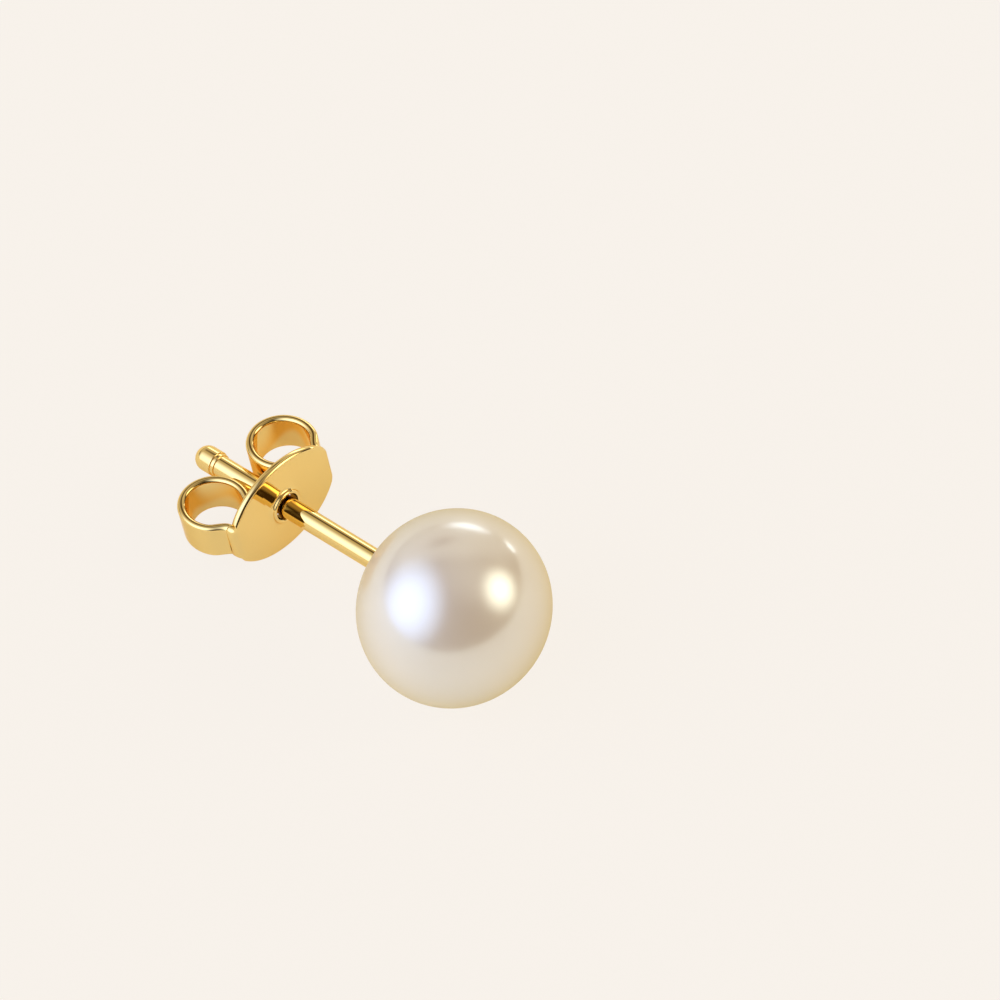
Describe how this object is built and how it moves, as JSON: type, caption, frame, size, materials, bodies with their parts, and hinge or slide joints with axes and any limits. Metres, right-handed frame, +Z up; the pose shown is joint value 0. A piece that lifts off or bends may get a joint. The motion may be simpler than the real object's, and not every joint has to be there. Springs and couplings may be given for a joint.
{
  "type": "pearl stud earring",
  "caption": "Pearl on a gold post with a sliding butterfly back, lying unworn on the pearl and the back's plate.",
  "frame": {"origin": "on the surface the earring lies on, under the middle of its bounding box", "axes": "+Z up; +X along the post from the pearl to its tip, seen from above; +Y across the butterfly back"},
  "size_m": [0.018, 0.008, 0.008],
  "materials": {
    "pearl": "lustrous cream-white nacre with soft bluish and rose overtones",
    "gold": "mirror-polished yellow gold"
  },
  "bodies": {
    "stud": {"pearl": "pearl", "post": "gold"},
    "back": {"butterfly_back": "gold"}
  },
  "joints": [
    {"name": "back_slide", "type": "slide", "parent": "stud", "child": "back", "axis": [0.9823, 0, -0.1871], "range_m": [-0.0054, 0.0054]}
  ]
}
